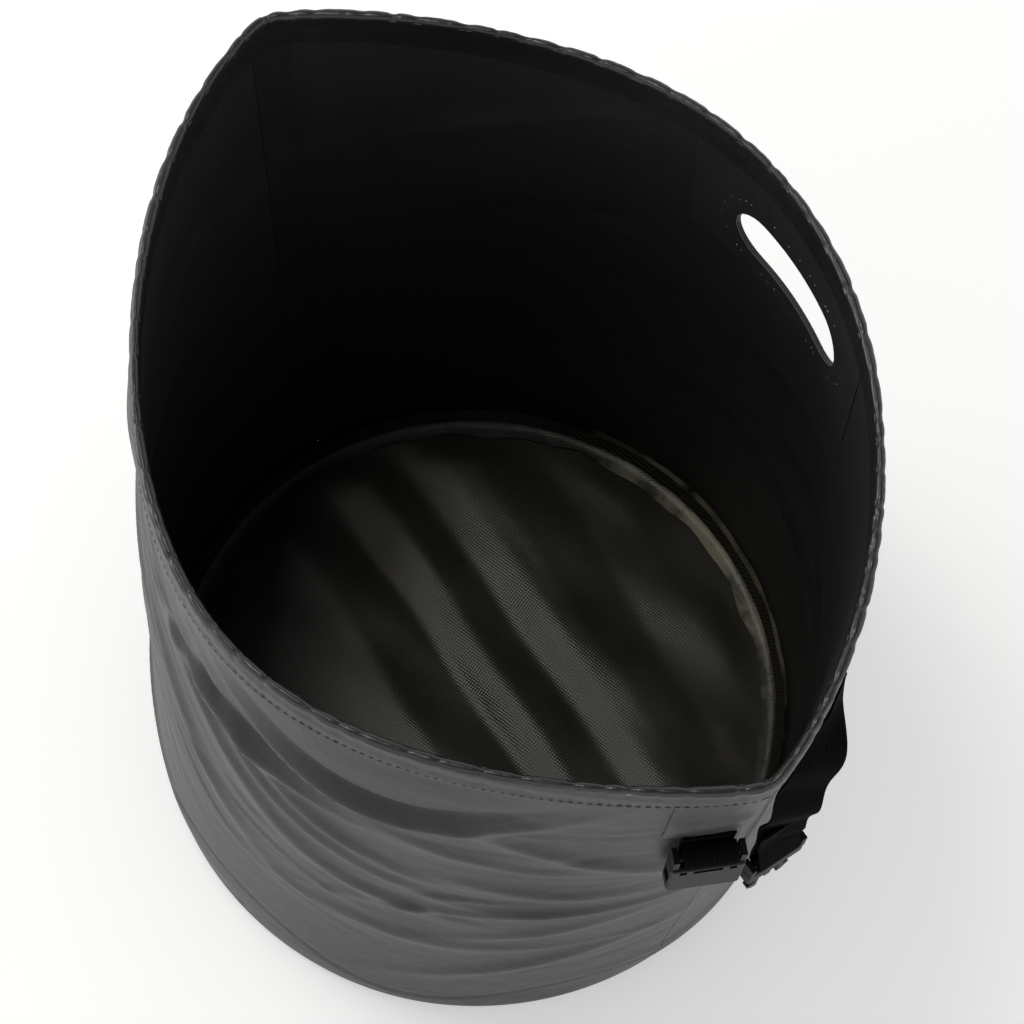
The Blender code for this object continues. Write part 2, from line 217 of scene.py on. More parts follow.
def relief(along, height):
    """How far the rumpled fabric stands out of the plain wall."""
    total = np.zeros(np.broadcast(along, height).shape)
    for fold in FOLDS:
        total = total + fold.at(along, height)
    turn = 2 * math.pi * along / GIRTH
    total = total + 0.0012 * np.sin(3 * turn + 9 * height) + 0.0008 * np.sin(7 * turn - 14 * height + 1)
    calm = smooth(HEM_FOOT + 0.002, HEM_FOOT - 0.030, height) * smooth(0.008, 0.040, height)
    hole_off = np.hypot(around(along, GIRTH / 4) / 0.085, (height - HOLE_CENTRE_Z) / 0.06)
    for corner in (GIRTH * 0.03, GIRTH * 0.47):  # flatter where the straps hang
        calm = calm * (1 - 0.75 * bell(around(along, corner) / 0.05) * smooth(0.17, 0.22, height))
    return total * calm * smooth(0.8, 1.7, hole_off) - 0.0006


def band_inset(along, height):
    """The wall draws in below a crease that swings up and down round the foot of the bag."""
    share = along / GIRTH % 1
    top = 0.046 + 0.010 * np.sin(2 * math.pi * 3 * share) + 0.014 * np.cos(2 * math.pi * 5 * share + 1.1)
    low = np.clip(1 - height / top, 0, 1)
    crease = 0.0007 * bell((height - top) / 0.0030)
    return BAND_INSET * low ** 1.5 + crease


# Mesh building


def add_mesh(name, points, faces, material, smooth_angle=40):
    data = bpy.data.meshes.new(name)
    data.from_pydata([tuple(p) for p in points], [], faces)
    data.update()
    made = bpy.data.objects.new(name, data)
    bpy.context.scene.collection.objects.link(made)
    fix = bmesh.new()
    fix.from_mesh(data)
    bmesh.ops.recalc_face_normals(fix, faces=fix.faces)
    fix.to_mesh(data)
    fix.free()
    data.shade_smooth()
    if smooth_angle:
        data.set_sharp_from_angle(angle=math.radians(smooth_angle))
    data.materials.append(material)
    return made


def add_uv(made, uv):
    """uv holds one pair for each vertex, in metres."""
    layer = made.data.uv_layers.new(name="UVMap")
    index = np.empty(len(made.data.loops), np.int32)
    made.data.loops.foreach_get("vertex_index", index)
    layer.data.foreach_set("uv", np.asarray(uv, np.float32)[index].ravel())


def grid_faces(rows, columns, close_rows, close_columns):
    faces = []
    for i in range(rows if close_rows else rows - 1):
        a = i * columns
        b = (i + 1) % rows * columns
        for j in range(columns if close_columns else columns - 1):
            k = (j + 1) % columns
            faces.append((a + j, a + k, b + k, b + j))
    return faces


def sweep(name, along, section, material, shift=None, push=None, closed=False):
    """A closed section of (depth, height) pairs, run along the wall.

    shift moves points straight out of the wall, and push moves them out of the section's own surface.
    Both hold a row for each place along the wall and a column for each point of the section.
    """
    section = np.asarray(section, float)
    rows, columns = len(along), len(section)
    depth = np.broadcast_to(section[:, 0], (rows, columns)).copy()
    height = np.broadcast_to(section[:, 1], (rows, columns)).copy()
    if push is not None:
        tangent = np.roll(section, -1, axis=0) - np.roll(section, 1, axis=0)
        tangent /= np.linalg.norm(tangent, axis=1)[:, None]
        area = np.sum(section[:, 0] * np.roll(section[:, 1], -1) - np.roll(section[:, 0], -1) * section[:, 1])
        sign = 1 if area > 0 else -1
        depth += sign * tangent[:, 1] * push
        height -= sign * tangent[:, 0] * push
    if shift is not None:
        depth -= shift
    points = wall_points(np.asarray(along)[:, None], height, depth).reshape(-1, 3)
    faces = grid_faces(rows, columns, closed, True)
    if not closed:
        for row in (0, rows - 1):
            start = row * columns
            for i in range(columns // 2 - 1):
                faces.append((start + i, start + i + 1, start + columns - 2 - i, start + columns - 1 - i))
    return add_mesh(name, points, faces, material)


def spread(start, end, step):
    return np.linspace(start, end, max(2, int(round((end - start) / step)) + 1))


def apply_modifiers(made):
    graph = bpy.context.evaluated_depsgraph_get()
    data = bpy.data.meshes.new_from_object(made.evaluated_get(graph))
    made.modifiers.clear()
    made.data = data
    return made


def stadium(length, height, steps=14):
    radius = height / 2
    straight = length / 2 - radius
    outline = []
    for side, start in ((1, -math.pi / 2), (-1, math.pi / 2)):
        for i in range(steps + 1):
            turn = start + math.pi * i / steps
            outline.append((side * straight + radius * math.cos(turn), radius * math.sin(turn)))
    return outline


def cut_hand_hole(made, margin=0.0):
    """Cuts the stadium through a sheet of the back wall."""
    outline = stadium(HOLE_LENGTH + 2 * margin, HOLE_HEIGHT + 2 * margin)
    count = len(outline)
    middle = wall_points(GIRTH / 4, HOLE_CENTRE_Z, 0.0)[0]
    points = [(middle + x, y, HOLE_CENTRE_Z + z) for y in (0.13, 0.21) for x, z in outline]
    faces = [tuple(range(count)), tuple(range(2 * count - 1, count - 1, -1))]
    faces += [(i, (i + 1) % count, count + (i + 1) % count, count + i) for i in range(count)]
    cutter = add_mesh("cutter", points, faces, made.data.materials[0])
    change = made.modifiers.new("hand_hole", "BOOLEAN")
    change.object = cutter
    change.operation = "DIFFERENCE"
    change.solver = "EXACT"
    bpy.context.view_layer.update()
    apply_modifiers(made)
    bpy.data.objects.remove(cutter, do_unlink=True)
    return made


# Materials


class Nodes:
    """A material's node tree, with one call for each kind of node it needs."""

    def __init__(self, name, colour, roughness, **sockets):
        self.material = bpy.data.materials.new(name)
        self.material.use_nodes = True
        self.tree = self.material.node_tree
        self.shader = self.tree.nodes["Principled BSDF"]
        self.shader.inputs["Base Color"].default_value = (*colour, 1)
        self.shader.inputs["Roughness"].default_value = roughness
        for key, value in sockets.items():
            self.shader.inputs[key.replace("_", " ")].default_value = value
        self.place = self.add("ShaderNodeTexCoord").outputs["Object"]
        self.height = None

    def add(self, kind, **values):
        node = self.tree.nodes.new(kind)
        for key, value in values.items():
            if key in node.inputs:
                node.inputs[key].default_value = value
            else:
                setattr(node, key, value)
        return node

    def join(self, source, target):
        self.tree.links.new(source, target)

    def moved(self, scale=(1, 1, 1), turn=(0, 0, 0), source=None):
        node = self.add("ShaderNodeMapping")
        node.inputs["Scale"].default_value = scale
        node.inputs["Rotation"].default_value = turn
        self.join(source or self.place, node.inputs["Vector"])
        return node.outputs["Vector"]

    def noise(self, scale, detail=3.0, roughness=0.5, source=None, distortion=0.0):
        node = self.add("ShaderNodeTexNoise")
        node.inputs["Scale"].default_value = scale
        node.inputs["Detail"].default_value = detail
        node.inputs["Roughness"].default_value = roughness
        node.inputs["Distortion"].default_value = distortion
        self.join(source or self.place, node.inputs["Vector"])
        return node.outputs["Fac"]

    def wave(self, scale, direction, source=None, profile="SIN"):
        node = self.add("ShaderNodeTexWave")
        node.wave_type = "BANDS"
        node.bands_direction = direction
        node.wave_profile = profile
        node.inputs["Scale"].default_value = scale
        self.join(source or self.place, node.inputs["Vector"])
        return node.outputs["Fac"]

    def maths(self, operation, first, second):
        node = self.add("ShaderNodeMath", operation=operation)
        for socket, value in zip(node.inputs, (first, second)):
            if isinstance(value, (int, float)):
                socket.default_value = value
            else:
                self.join(value, socket)
        return node.outputs[0]

    def ramp(self, source, stops):
        node = self.add("ShaderNodeValToRGB")
        ramp = node.color_ramp
        while len(ramp.elements) < len(stops):
            ramp.elements.new(0.5)
        for element, (place, colour) in zip(ramp.elements, stops):
            element.position = place
            element.color = (*colour, 1) if len(colour) == 3 else colour
        self.join(source, node.inputs["Fac"])
        return node.outputs["Color"]

    def levels(self, source, low, high):
        """A factor from 0 to 1 mapped to low to high."""
        node = self.add("ShaderNodeMapRange")
        node.inputs["To Min"].default_value = low
        node.inputs["To Max"].default_value = high
        self.join(source, node.inputs["Value"])
        return node.outputs["Result"]

    def bump(self, source, distance, strength=1.0):
        node = self.add("ShaderNodeBump")
        node.inputs["Strength"].default_value = strength
        node.inputs["Distance"].default_value = distance
        self.join(source, node.inputs["Height"])
        if self.height:
            self.join(self.height, node.inputs["Normal"])
        self.height = node.outputs["Normal"]
        self.join(self.height, self.shader.inputs["Normal"])

    def colour(self, source):
        self.join(source, self.shader.inputs["Base Color"])

    def rough(self, source):
        self.join(source, self.shader.inputs["Roughness"])


FINE_WEAVE = 620.0  # wave node scale of the coated cloth's threads, about 0.5 mm apart
FOOT_SHADE_TOP = 0.24  # painted shade: the outer cloth's colour is darkened below this height


def wave_scale(period):
    """The wave node's scale for bands that repeat at a distance."""
    return math.pi / 10 / period


def coated_fabric(name, dark, light, rough_low, rough_high, relief_size, foot=1.0, specular=0.5):
    """Film-coated cloth: faint weave, scuffs and patches of duller film, and painted shade that darkens it
    towards the foot.
    """
    look = Nodes(name, dark, 0.4, Specular_IOR_Level=specular)
    cloudy = look.noise(9.0, 4.0, 0.55)
    scuffs = look.noise(150.0, 5.0, 0.7, look.moved((1, 1, 0.35)))
    mixed = look.maths("ADD", look.maths("MULTIPLY", cloudy, 0.7), look.maths("MULTIPLY", scuffs, 0.3))
    # painted shade: below a set height the tone is scaled down, so the cloth darkens towards the foot
    if foot < 1:
        split = look.add("ShaderNodeSeparateXYZ")
        look.join(look.place, split.inputs[0])
        fade = look.add("ShaderNodeMapRange")
        fade.inputs["From Max"].default_value = FOOT_SHADE_TOP
        fade.inputs["To Min"].default_value = foot
        look.join(split.outputs["Z"], fade.inputs["Value"])
        tone = look.maths("MULTIPLY", mixed, fade.outputs["Result"])
    else:
        tone = mixed
    # the deepest colour comes from the darkest random tone and from the painted shade at the foot
    deep_tone_and_foot_shade = tuple(value * 0.3 for value in dark)
    look.colour(look.ramp(tone, [(0.08, deep_tone_and_foot_shade), (0.32, dark), (0.68, light)]))
    look.rough(look.levels(mixed, rough_low, rough_high))
    look.bump(look.noise(70.0, 4.0, 0.55), relief_size)
    look.bump(look.noise(420.0, 3.0, 0.6), relief_size * 0.16)
    weave = look.maths("MULTIPLY", look.wave(FINE_WEAVE, "Z"), look.wave(FINE_WEAVE, "X"))
    look.bump(weave, 0.00003)
    return look.material


def floor_cloth():
    """Coarse plain weave under a thin coating: raised threads that catch the light."""
    look = Nodes("floor_cloth", (0.03, 0.03, 0.025), 0.5)
    turned = look.moved(turn=(0, 0, math.radians(24)))
    scale = wave_scale(0.0023)
    across = look.maths("SUBTRACT", look.wave(scale, "X", turned), 0.5)
    down = look.maths("SUBTRACT", look.wave(scale, "Y", turned), 0.5)
    knots = look.maths("MULTIPLY", look.maths("MULTIPLY", across, down), 2.0)
    threads = look.maths("ADD", knots, 0.5)
    wear = look.noise(30.0, 4.0, 0.6)
    look.colour(look.ramp(
        look.maths("MULTIPLY", threads, look.levels(wear, 0.7, 1.25)),
        [(0.15, (0.004, 0.004, 0.003)), (0.5, (0.018, 0.0172, 0.0135)), (0.9, (0.085, 0.079, 0.060))],
    ))
    look.rough(look.levels(wear, 0.28, 0.37))
    look.bump(threads, 0.00012)
    look.bump(look.noise(24.0, 3.0, 0.5), 0.0008)
    return look.material


def tape_film(name, dark, light):
    """Hatched, crumpled film, with a painted highlight that makes it brighter towards the back of the floor.
    """
    look = Nodes(name, dark, 0.2)
    hatch = look.wave(wave_scale(0.0014), "X", look.moved(turn=(0, 0, math.radians(40))))
    crumple = look.noise(55.0, 3.0, 0.55)
    split = look.add("ShaderNodeSeparateXYZ")
    look.join(look.place, split.inputs[0])
    # painted highlight: the tone rises with Y, so the film is brighter towards the back of the floor
    painted_glint = look.add("ShaderNodeMapRange")
    for socket, value in (("From Min", 0.13), ("From Max", 0.172), ("To Min", 0.40), ("To Max", 1.12)):
        painted_glint.inputs[socket].default_value = value
    look.join(split.outputs["Y"], painted_glint.inputs["Value"])
    tone = look.maths("MULTIPLY", crumple, painted_glint.outputs["Result"])
    look.colour(look.ramp(tone, [(0.34, dark), (0.66, light)]))
    look.rough(look.levels(crumple, 0.30, 0.48))
    look.bump(crumple, 0.0008)
    look.bump(hatch, 0.00004)
    return look.material


def strap_weave():
    """Webbing: ribs across the strap, with a soft nap."""
    look = Nodes("strap_weave", (0.008, 0.008, 0.009), 0.75)
    look.shader.inputs["Specular IOR Level"].default_value = 0.03
    uv = look.add("ShaderNodeUVMap", uv_map="UVMap").outputs["UV"]
    across = look.wave(wave_scale(0.0021), "X", uv)
    along = look.wave(wave_scale(0.0016), "Y", uv)
    ribs = look.maths("MULTIPLY", across, look.levels(along, 0.45, 1.0))
    look.colour(look.ramp(ribs, [(0.1, (0.0022, 0.0022, 0.0026)), (0.9, (0.0042, 0.0042, 0.0046))]))
    look.rough(look.levels(look.noise(400.0), 0.78, 0.92))
    look.bump(ribs, 0.00012)
    look.bump(look.noise(900.0, 3.0, 0.7), 0.00008)
    return look.material


def moulded_plastic():
    """Satin acetal with fine mould texture and duller patches."""
    look = Nodes("moulded_plastic", (0.010, 0.010, 0.011), 0.42)
    look.shader.inputs["Specular IOR Level"].default_value = 0.12
    grain = look.noise(1400.0, 3.0, 0.6)
    cloud = look.noise(60.0, 3.0)
    look.colour(look.ramp(cloud, [(0.35, (0.004, 0.004, 0.0045)), (0.7, (0.010, 0.010, 0.0105))]))
    look.rough(look.levels(grain, 0.42, 0.58))
    look.bump(grain, 0.00003)
    return look.material


def strip_plastic():
    look = Nodes("strip_plastic", (0.20, 0.20, 0.20), 0.45)
    streak = look.noise(60.0, 3.0, 0.5, look.moved((1, 1, 12)))
    look.colour(look.ramp(streak, [(0.3, (0.17, 0.17, 0.17)), (0.7, (0.23, 0.23, 0.23))]))
    look.rough(look.levels(streak, 0.38, 0.55))
    return look.material


def thread_look():
    look = Nodes("thread", (0.02, 0.02, 0.022), 0.6)
    twist = look.noise(1800.0, 2.0)
    look.colour(look.ramp(twist, [(0.3, (0.020, 0.020, 0.021)), (0.7, (0.050, 0.050, 0.052))]))
    look.bump(twist, 0.00008)
    return look.material


def studio_floor():
    look = Nodes("studio_floor", (0.86, 0.86, 0.86), 0.7, Emission_Color=(1, 1, 1, 1), Emission_Strength=0.32)
    look.colour(look.ramp(look.noise(1.5), [(0.3, (0.85, 0.85, 0.85)), (0.7, (0.87, 0.87, 0.87))]))
    return look.material


# The wall cloth gets painted shade, darker towards the foot.
WALL_CLOTH = coated_fabric(
    "wall_cloth", (0.022, 0.0212, 0.0206), (0.037, 0.0357, 0.0346), 0.35, 0.46, 0.0008,
    foot=0.25, specular=0.16,
)
PATCH_CLOTH = coated_fabric("patch_cloth", (0.017, 0.017, 0.0180), (0.028, 0.028, 0.029), 0.36, 0.50, 0.0005)
LINING = coated_fabric("lining", (0.014, 0.014, 0.0150), (0.022, 0.022, 0.0230), 0.44, 0.58, 0.0006)
# A darker, glossier copy of the wall cloth for the hem's round top and inner side; the darker colour is
# painted shade on the rim's top.
SHADED_HEM_CLOTH = coated_fabric("hem_cloth_painted_shade", (0.011, 0.011, 0.0113), (0.023, 0.023, 0.0235), 0.22, 0.32, 0.0006)
SIDE_TAPE_FILM = coated_fabric(
    "side_tape_film", (0.013, 0.013, 0.0138), (0.021, 0.021, 0.0218), 0.38, 0.50, 0.0005
)
FLOOR_CLOTH = floor_cloth()
# The tape's light colour is a painted highlight, reached where the painted mask is high; the crumpled tone
# under it is the film's own.
TAPE_FILM = tape_film("tape_film", (0.008, 0.008, 0.007), (0.270, 0.258, 0.185))
STRAP_WEAVE = strap_weave()
MOULDED = moulded_plastic()
THREAD = thread_look()


def dress(made, body, slot, *nodes):
    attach(made, body)
    if nodes:
        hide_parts(*nodes)
    return made


# Bag


def wall_section():
    """The wall's outer and inner faces, from the lip under the floor to the top."""
    outer = [(CHINE_LIP, 0.0004), (CHINE_RADIUS, 0.0004)]
    for i in range(1, 7):
        turn = math.radians(15 * i)
        inset = CHINE_RADIUS * (1 - math.sin(turn))
        outer.append((inset, 0.0004 + CHINE_RADIUS * (1 - math.cos(turn))))
    top = HEIGHT - 0.0012 - GAP
    outer += [(0.0, z) for z in spread(CHINE_RADIUS + 0.003, top, 0.0028)]
    inner = []
    for i, (d, z) in enumerate(outer):
        before, after = outer[max(i - 1, 0)], outer[min(i + 1, len(outer) - 1)]
        dd, dz = after[0] - before[0], after[1] - before[1]
        size = math.hypot(dd, dz)
        inner.append((d + dz / size * FABRIC, z - dd / size * FABRIC))
    return outer + inner[::-1]


def make_wall(name, start, end, node):
    section = wall_section()
    along = spread(start, end, 0.0030)
    height = np.array([z for _, z in section])
    shift = relief(along[:, None], height[None, :]) - band_inset(along[:, None], height[None, :])
    made = sweep(name, along, section, WALL_CLOTH, shift=shift)
    made.data.materials.append(LINING)
    columns = len(section)
    for i, face in enumerate(made.data.polygons):
        if i < (len(along) - 1) * columns and i % columns >= columns // 2 - 1:
            face.material_index = 1
    return dress(made, "bag", "wall_fabric", node)


def sheet_section(low, high, outer, inner, step):
    levels = spread(low, high, step)
    front = [(outer, z) for z in levels]
    back = [(inner, z) for z in levels[::-1]]
    return front + back


def make_patch(name, start, end, low, high, outer, inner, material, node, slot_name, edge=0.0015, crown=None):
    """A sheet that lies on the wall and thins out to its edges."""
    along = spread(start, end, 0.0025)
    section = sheet_section(low, high, outer, inner, 0.0025)
    depth = np.array([d for d, _ in section])
    height = np.array([z for _, z in section])
    shift = relief(along[:, None], height[None, :])
    in_s = np.minimum(along - start, end - along)[:, None]
    in_z = np.minimum(height - low, high - height)[None, :]
    inset = np.minimum(in_s, in_z)
    if crown:  # the cover's rounded top edge lies below the sheet's own
        middle, half = (start + end) / 2, (end - start) / 2
        side = np.abs(along - middle)[:, None] / half
        rounded = crown - 0.55 * half * side ** 3
        inset = np.minimum(inset, np.clip(rounded - height[None, :], 0, None))
    rim = 0.04 if crown else 0.35
    thin = rim + (1 - rim) * smooth(-0.4, 1, inset / edge)
    near, far = (inner, outer) if outer < 0 else (outer, inner)
    on_far = np.abs(depth - far) < 1e-9
    shift = shift + np.where(on_far[None, :], (near - far) * (1 - thin) * -1, 0)
    made = sweep(name, along, section, material, shift=shift)
    return dress(made, "bag", slot_name, node)


def pucker(along, seed, pitch, depth, width):
    """Small gathers in a hem: narrow dents at uneven spacing round the mouth."""
    rng = np.random.default_rng(seed)
    total = np.zeros(len(along))
    place = 0.0
    while place < GIRTH:
        total += rng.uniform(0.35, 1.0) * depth * bell(around(along, place) / (width * rng.uniform(0.7, 1.5)))
        place += pitch * rng.uniform(0.6, 1.5)
    return total


def hem_section():
    """U over the wall's top edge, rounded outside and plain inside, and how soft each of its points is."""
    out, inn = -HEM_PROUD, HEM_DEPTH_IN
    middle, half = (out + inn) / 2, (inn - out) / 2
    points, soft = [], []
    for z in spread(HEM_FOOT, HEIGHT - half, 0.0022):
        points.append((out, z))
        soft.append(0.25 + 0.75 * (z - HEM_FOOT) / (HEIGHT - HEM_FOOT))
    for i in range(1, 12):
        turn = math.pi * i / 12
        points.append((middle - half * math.cos(turn), HEIGHT - half + half * math.sin(turn)))
        soft.append(1.0)
    for z in spread(HEM_FOOT, HEIGHT - half, 0.0022)[::-1]:
        points.append((inn, z))
        soft.append(0.25 + 0.75 * (z - HEM_FOOT) / (HEIGHT - HEM_FOOT))
    inside = [(0.0030, HEM_FOOT), (0.0030, 0.4478), (0.0024, 0.4486)]
    inside += [(0.0004, 0.4486), (-0.0003, 0.4478), (-0.0003, HEM_FOOT)]
    return points + inside, soft + [0.0] * len(inside)


def make_hem():
    section, soft = hem_section()
    along = np.arange(0, GIRTH, 0.0011)
    soft = np.array(soft)
    dents = pucker(along, 5, 0.0160, 0.0011, 0.0026) + pucker(along, 8, 0.007, 0.00015, 0.0016)
    dents = np.minimum(dents, HEM_PROUD - 0.00025)
    height = np.array([z for _, z in section])
    lean = 0.0005 * np.sin(along[:, None] * 41 + height[None, :] * 500) * soft[None, :]
    inner_leg = np.array([d > 0.0031 and z < 0.4478 for d, z in section])
    push = -dents[:, None] * soft[None, :] ** 2 * np.where(inner_leg, 0.3, 1.0)[None, :] + lean * 0.6
    gape = 0.0018 * bell(around(along, 0.680 * GIRTH) / 0.022)
    low_edge = np.clip(1 - (height - HEM_FOOT) / 0.016, 0, 1)
    outside = np.array([d < 0.0 for d, _ in section])
    shift = gape[:, None] * (low_edge * outside)[None, :]
    made = sweep("hem", along, section, WALL_CLOTH, shift=shift, push=push, closed=True)
    made.data.materials.append(SHADED_HEM_CLOTH)
    columns = len(section)
    leg = len(spread(HEM_FOOT, HEIGHT - (HEM_DEPTH_IN + HEM_PROUD) / 2, 0.0022))
    # the round top and the inner side take the darker hem cloth, painted shade
    for i, face in enumerate(made.data.polygons):
        if i % columns >= leg + 1:
            face.material_index = 1
    return dress(made, "bag", "rim_binding", "rim_binding")


def capsule_points(radius, length, sides=6):
    """Rings of a short round-ended thread, along X."""
    ends = ((-0.5, 0.25), (-0.42, 0.8), (0, 1.0), (0.42, 0.8), (0.5, 0.25))
    rings = [(place * length, wide) for place, wide in ends]
    return [
        [(x, radius * s * math.cos(2 * math.pi * k / sides), radius * s * math.sin(2 * math.pi * k / sides))
         for k in range(sides)]
        for x, s in rings
    ]


def make_stitches(name, places, height, depth, length, radius):
    """A row of stitches on the wall: places are distances along it."""
    rings = np.array(capsule_points(radius, length))
    count, sides = rings.shape[0], rings.shape[1]
    points, faces = [], []
    centre = wall_points(places, height, depth)
    ahead = wall_points(places + 0.001, height, depth) - wall_points(places - 0.001, height, depth)
    for place, direction in zip(centre, ahead):
        direction = direction / np.linalg.norm(direction)
        outward = np.array([direction[1], -direction[0], 0])
        base = len(points)
        flat = rings.reshape(-1, 3)
        arch = -1.2 * radius * (flat[:, 0] / (0.5 * length)) ** 2
        moved = place + flat[:, :1] * direction + (flat[:, 1:2] + arch[:, None]) * outward
        moved[:, 2] += flat[:, 2]
        points += [tuple(p) for p in moved]
        for i in range(count - 1):
            for k in range(sides):
                m = (k + 1) % sides
                faces.append((base + i * sides + k, base + i * sides + m,
                              base + (i + 1) * sides + m, base + (i + 1) * sides + k))
        faces.append(tuple(base + k for k in range(sides)))
        faces.append(tuple(base + (count - 1) * sides + k for k in range(sides - 1, -1, -1)))
    made = add_mesh(name, points, faces, THREAD)
    return dress(made, "bag", "rim_binding")


# The floor's folds run along X: place along Y, slope and height of each crest and hollow
FLOOR_LINES = (
    (-0.160, 0.00, 0.0006),
    (-0.085, 0.00, 0.0026),
    (-0.040, 0.02, 0.0062),
    (-0.002, 0.04, 0.0016),
    (0.008, 0.03, 0.0042),
    (0.020, 0.02, 0.0060),
    (0.045, 0.04, 0.0018),
    (0.066, 0.02, 0.0060),
    (0.080, 0.01, 0.0060),
    (0.112, -0.03, 0.0020),
    (0.143, 0.03, 0.0024),
    (0.166, 0.00, 0.0008),
)
FOLD_SOFTNESS = 0.0035


def floor_rise(x, y):
    """Soft folds that run from corner to corner of the bag, and die out at the floor's edge."""
    total = np.zeros_like(x)
    waver = 0.0006 * np.sin(x * 31) + 0.0004 * np.sin(x * 67 + 2)
    for shift in np.linspace(-FOLD_SOFTNESS, FOLD_SOFTNESS, 5):
        beyond = np.zeros_like(x) + FLOOR_LINES[0][2]
        for (y0, slope0, z0), (y1, slope1, z1) in zip(FLOOR_LINES, FLOOR_LINES[1:]):
            low, high = y0 + slope0 * x, y1 + slope1 * x
            beyond = beyond + (z1 - z0) * np.clip((y + waver + shift - low) / (high - low), 0, 1)
        total = total + beyond / 5
    total = total * (0.35 + 0.65 * smooth(-0.17, -0.06, x))
    total = total + 0.0005 * (np.sin(x * 60 + y * 40) + np.sin(y * 110 - x * 45))
    edge = np.hypot(x, y) / BASE_RADIUS
    return np.maximum(total, 0) * smooth(0.95, 0.80, edge)


def make_floor():
    """The floor cloth, as a thin disc with its folds, turned up a little at the edge under the tape."""
    low = 0.0018
    rings, sides = 74, 260
    radius = BASE_RADIUS - BAND_INSET - 0.0022
    points = []
    for face in (1, 0):
        for i in range(1, rings + 1):
            share = i / rings
            turn = np.arange(sides) * 2 * math.pi / sides
            x, y = share * radius * np.cos(turn), share * radius * np.sin(turn)
            turned_up = 0.010 * smooth(0.955, 1.0, share) ** 1.6
            z = low + floor_rise(x, y) + turned_up + face * 0.0012
            points += list(np.stack([x, y, z], axis=1))
    count = rings * sides
    faces = []
    for face in (0, 1):
        start = face * count
        for i in range(rings - 1):
            for k in range(sides):
                m = (k + 1) % sides
                faces.append((start + i * sides + k, start + i * sides + m,
                              start + (i + 1) * sides + m, start + (i + 1) * sides + k))
        faces.append(tuple(start + k for k in range(sides)))
    last = (rings - 1) * sides
    for k in range(sides):
        m = (k + 1) % sides
        faces.append((last + k, last + m, count + last + m, count + last + k))
    made = add_mesh("floor_cloth", points, faces, FLOOR_CLOTH)
    return dress(made, "bag", "floor_fabric", "floor_panel")


def make_floor_tape():
    """Seam tape round the floor: half on the floor cloth, half up the wall, in slightly tilted lengths."""
    base = BAND_INSET + FABRIC + 0.0002
    turns = [math.radians(15 * i) for i in range(7)]
    bend = [(base + 0.0002 + 0.009 * (1 - math.sin(t)), 0.0042 + 0.009 * (1 - math.cos(t))) for t in turns]
    inner = [(base + 0.0135, 0.0042)] + bend + [(base - 0.0012, 0.0175)]
    outer = [(d + 0.0004, z + 0.0005) for d, z in inner]
    section = inner + outer[::-1]
    along = np.arange(0, GIRTH, 0.0022)
    rng = np.random.default_rng(21)
    places = np.concatenate([[0], np.cumsum(rng.uniform(0.012, 0.034, 80))])
    places = places[places < GIRTH]
    tilt = np.interp(along, places, rng.uniform(-1, 1, len(places)), period=GIRTH)
    across = np.linspace(-1, 1, len(inner))
    push = 0.0010 * np.concatenate([across, across[::-1]])[None, :] * tilt[:, None]
    edge = 0.0008 * np.sin(along * 140) + 0.0006 * np.sin(along * 61 + 1)
    shift = np.zeros((len(along), len(section)))
    shift[:, 0] += edge
    shift[:, -1] += edge
    made = sweep("floor_tape", along, section, TAPE_FILM, shift=shift + push, closed=True)
    return dress(made, "bag", "seam_tape", "floor_seam_tape")


def make_side_tape(name, middle, node):
    low, high = 0.0195, HEM_FOOT - 0.0010
    inner_face = FABRIC + 0.0001
    along = spread(middle - 0.0112, middle + 0.0112, 0.0016)
    levels = spread(low, high, 0.004)
    section = [(inner_face, z) for z in levels] + [(inner_face + 0.0005, z) for z in levels[::-1]]
    height = np.array([z for _, z in section])
    shift = relief(along[:, None], height[None, :]) - band_inset(along[:, None], height[None, :])
    made = sweep(name, along, section, SIDE_TAPE_FILM, shift=shift)
    return dress(made, "bag", "seam_tape", node)


def make_hand_hole(back_wall):
    cut_hand_hole(back_wall)
    middle = GIRTH / 4
    low, high = HOLE[0].z, HOLE[1].z
    half = HOLE_PATCH_LENGTH / 2
    outer = make_patch("hand_hole_patch_outside", middle - half, middle + half, low, high,
                       -GAP - 0.0006, -0.0001, WALL_CLOTH, "hand_hole_outer_patch", "wall_fabric")
    inner = make_patch("hand_hole_patch_inside", middle - half, middle + half, low, high,
                       FABRIC + 0.0001, FABRIC + 0.0008, PATCH_CLOTH, "hand_hole_inner_patch", "wall_fabric")
    for patch in (outer, inner):
        cut_hand_hole(patch)


def make_weld_dots():
    """Small heat-weld pips in a row round the hand hole, on the inside."""
    rng = np.random.default_rng(4)
    outline = np.array(stadium(HOLE_LENGTH + 0.020, HOLE_HEIGHT + 0.020, 24))
    closed_line = np.vstack([outline, outline[:1]])
    run = np.concatenate([[0], np.cumsum(np.linalg.norm(np.diff(closed_line, axis=0), axis=1))])
    places = np.arange(0, run[-1], 0.0052)
    x = np.interp(places, run, closed_line[:, 0]) + rng.normal(0, 0.0008, len(places))
    z = np.interp(places, run, closed_line[:, 1]) + rng.normal(0, 0.0008, len(places))
    mesh = bmesh.new()
    for dx, dz in zip(x, z):
        point = wall_points(GIRTH / 4 - dx * 1.02, HOLE_CENTRE_Z + dz, FABRIC + 0.0009)
        size = rng.uniform(0.0005, 0.0010)
        bmesh.ops.create_icosphere(
            mesh, subdivisions=1, radius=size, matrix=Matrix.Translation(Vector(point))
        )
    data = bpy.data.meshes.new("weld_dots")
    mesh.to_mesh(data)
    mesh.free()
    data.shade_smooth()
    data.materials.append(TAPE_FILM)
    made = bpy.data.objects.new("weld_dots", data)
    bpy.context.scene.collection.objects.link(made)
    return dress(made, "bag", "wall_fabric")


# Webbing


